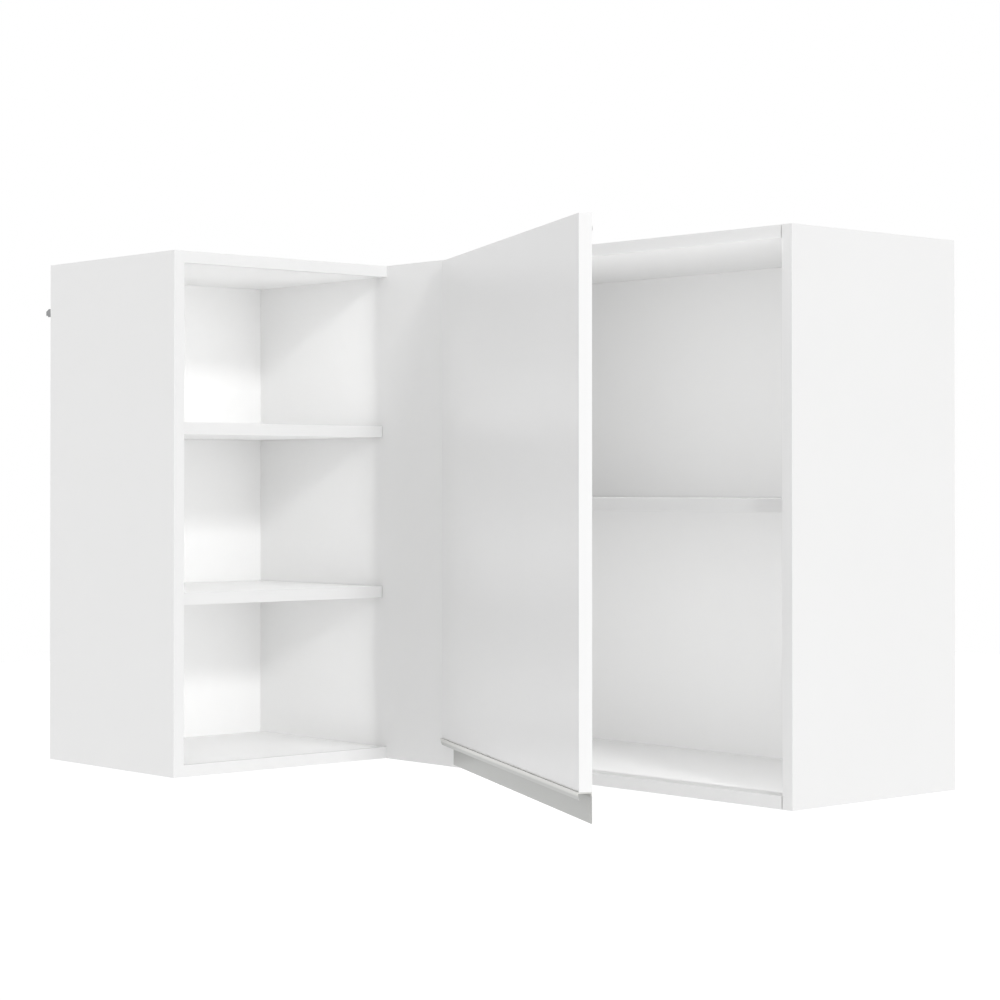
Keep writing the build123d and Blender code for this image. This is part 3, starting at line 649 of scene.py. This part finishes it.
# %% [markdown]
# ## Far lamps: key, overhead and a fill
# Three far lamps shape the cabinet. The key comes from the right, low above the horizon: it draws
# the slanted shadow line in the open module and the long wedge on the corner module's floor, and
# makes the right side the brightest of the large faces. The overhead lamp is as wide as a ceiling of
# diffusers, so it has no shadow edge of its own and only makes what looks up a little brighter than
# what looks down. A weak fill comes from the left, for the faces of the fixed front and the door
# that the key leaves grey.


# %% Far lamps
def hang_far_lamp(name, turn, elevation, width, strength):
    """A lamp far away. Turn, elevation and width are angles in degrees."""
    data = bpy.data.lights.new(name, "SUN")
    data.energy = strength
    data.angle = radians(width)
    lamp = bpy.data.objects.new(name, data)
    lamp.rotation_euler = (0, radians(90 - elevation), radians(turn))
    scene.collection.objects.link(lamp)
    print(name, "strength", strength, "width", width)


hang_far_lamp("Key Light", turn=-20, elevation=22, width=7, strength=0.822)
hang_far_lamp("Overhead Light", turn=0, elevation=89, width=120, strength=0.6)
hang_far_lamp("Left Fill", turn=-120, elevation=15, width=30, strength=0.085)

# %% [markdown]
# ## Soft panels in the openings
# A white cupboard on a white ground easily looks like a cave, because little light finds its way
# in. In the photograph the compartments are nearly as light as the outside. A photographer would
# bounce light in through the openings, and here flat lamps do that, one to each compartment. They
# stand just behind the shelves' front edges, shine only inwards, and are left out of the view and of
# reflections. The open compartments are shallow, so their lamps throw a narrower beam that reaches
# the back before it spreads. Behind the door there is one lamp to each level of the corner module,
# the upper one tilted up to its top, and two more stand in the blind corner, behind the fixed front.
# The strengths in each row go from the lowest level to the highest.


# %% Panels of light
def hang_panel(name, low, high, facing, beam, power):
    """A flat lamp about as large as the space between two corners. Beam is an angle in degrees."""
    data = bpy.data.lights.new(name, "AREA")
    data.shape = "RECTANGLE"
    data.size = (Vector(high) - Vector(low)).xy.length
    data.size_y = high[2] - low[2]
    data.spread = radians(beam)
    data.energy = power
    lamp = bpy.data.objects.new(name, data)
    lamp.location = (Vector(low) + Vector(high)) / 2
    lamp.rotation_euler = Vector(facing).to_track_quat("-Z", "Y").to_euler()
    lamp.visible_camera = False
    lamp.visible_glossy = False
    scene.collection.objects.link(lamp)
    print(name, "is", round(data.size, 3), "by", round(data.size_y, 3), "m")


def levels_between(*boards):
    """The lowest and highest point of the space between each board and the next one above it."""
    air = 0.0005
    boxes = [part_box(board) for board in boards]
    return [(below[1][2] + air, above[0][2] - air) for below, above in zip(boxes, boxes[1:])]


open_levels = levels_between(
    "open_bottom_panel", "lower_open_shelf", "upper_open_shelf", "open_top_panel"
)
corner_levels = levels_between("right_bottom_panel", "inner_shelf", "right_top_panel")
print("open compartments", len(open_levels), "and corner compartments", len(corner_levels))

# %% Light in the open module
open_power = (0.190, 0.190, 0.214)
open_beam = 125
open_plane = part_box("lower_open_shelf")[1][0] - 0.0015
open_ends = (-0.6555, -0.325)
for (bottom, top), power in zip(open_levels, open_power):
    hang_panel(
        f"Open Panel {bottom:.2f}", (open_plane, open_ends[0], bottom),
        (open_plane, open_ends[1], top), facing=(-1, 0, 0), beam=open_beam, power=power,
    )

# %% Light behind the door and in the blind corner
door_power = (0.404, 0.372)
door_rise = (0.0, 0.2)
blind_power = (0.272, 0.190)
full_beam = 180
door_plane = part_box("inner_shelf")[0][1] + 0.0005
door_ends = (0.471, 1.059)
blind_plane = -0.222
blind_ends = (0.018, 0.452)
lamp_rows = zip(corner_levels, door_power, door_rise, blind_power)
for (bottom, top), behind_door, rise, in_blind in lamp_rows:
    hang_panel(
        f"Door Panel {bottom:.2f}", (door_ends[0], door_plane, bottom),
        (door_ends[1], door_plane, top), facing=(0, 1, rise), beam=full_beam, power=behind_door,
    )
    hang_panel(
        f"Blind Panel {bottom:.2f}", (blind_ends[0], blind_plane, bottom),
        (blind_ends[1], blind_plane, top), facing=(0, 1, 0), beam=full_beam, power=in_blind,
    )

# %% [markdown]
# ## Floor
# The cabinet hangs on a wall, so the floor lies well below it. To the camera and in reflections the
# floor is lifted by a little glow of its own, which makes it as white as the world but leaves the
# cabinet's shadow on it.

# %% Floor
floor_drop = 1.0
floor_reach = 14.0
floor_lift = 0.3
floor_light = (0.86, 0.86, 0.86)
floor_dusty = (0.85, 0.85, 0.85)


def build_floor():
    mesh = bpy.data.meshes.new("Floor")
    signs = [(-1, -1), (1, -1), (1, 1), (-1, 1)]
    corners = [(x * floor_reach, y * floor_reach, -floor_drop) for x, y in signs]
    mesh.from_pydata(corners, [], [(0, 1, 2, 3)])
    floor = bpy.data.objects.new("Floor", mesh)
    scene.collection.objects.link(floor)
    material, tree, shader = new_finish("Pale Floor", Roughness=0.9)
    dust = place_group(tree, mottle, Scale=3.0, Detail=2.0)["Mottle"]
    join(tree, blend_colors(tree, dust, floor_light, floor_dusty), shader.inputs["Base Color"])
    ray = add_node(tree, "ShaderNodeLightPath")
    seen = calculate(
        tree, "ADD", ray.outputs["Is Camera Ray"], ray.outputs["Is Glossy Ray"], clamp=True
    )
    glow = calculate(tree, "MULTIPLY", seen, floor_lift)
    shader.inputs["Emission Color"].default_value = (1, 1, 1, 1)
    join(tree, glow, shader.inputs["Emission Strength"])
    mesh.materials.append(material)
    return floor


build_floor()
print("floor", floor_drop, "m below the cabinet")

# %% Look of the picture
scene.view_settings.view_transform = "Standard"
